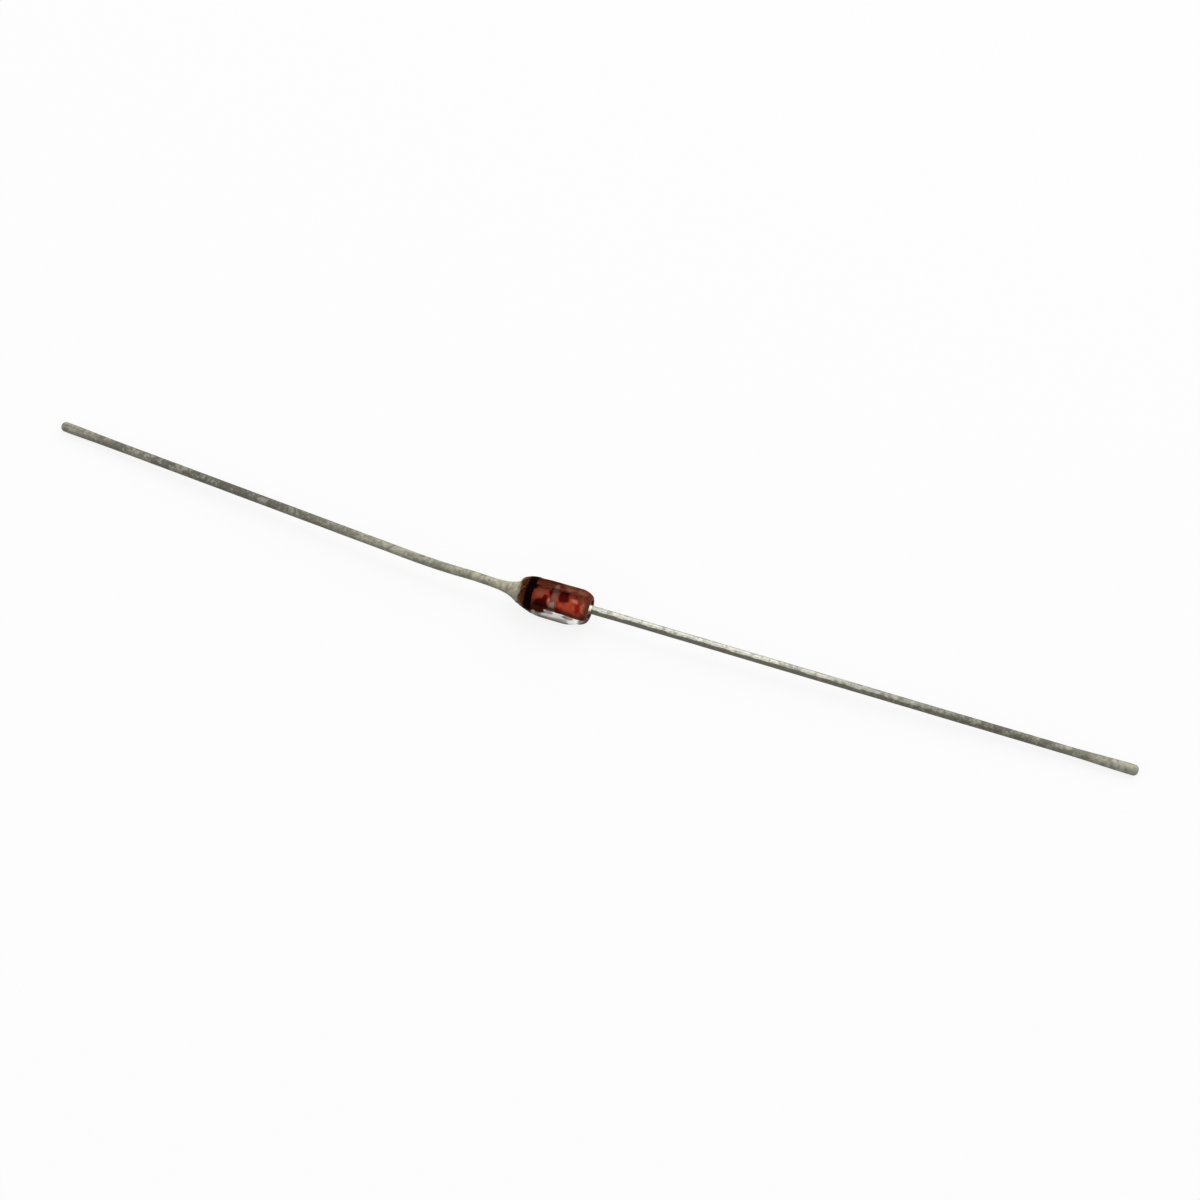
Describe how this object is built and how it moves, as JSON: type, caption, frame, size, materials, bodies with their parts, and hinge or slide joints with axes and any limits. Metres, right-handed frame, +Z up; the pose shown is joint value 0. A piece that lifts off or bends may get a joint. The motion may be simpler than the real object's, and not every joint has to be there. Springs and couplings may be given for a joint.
{
  "type": "zener diode",
  "caption": "Glass-bodied axial diode with bent tinned wire leads and a painted cathode band; in reverse it holds a steady voltage.",
  "frame": {"origin": "centre of the glass body, on the axis of its outside", "axes": "+X along the glass towards the anode lead, the banded cathode end at -X, +Z up from the bench"},
  "size_m": [0.0566, 0.0036, 0.0018],
  "materials": {
    "glass": "clear, fire polished, faintly warm",
    "slug": "glossy mottled red oxide",
    "silicon": "polished grey",
    "silver": "plated silver",
    "tinned_wire": "dull hot-dipped tin, mottled",
    "band_paint": "baked black paint"
  },
  "bodies": {
    "root": {"glass_sleeve": "glass", "cathode_slug": "slug", "anode_slug": "slug", "zener_die": "silicon", "contact_bump": "silver", "anode_lead": "tinned_wire", "cathode_lead": "tinned_wire", "cathode_band": "band_paint"}
  },
  "joints": []
}
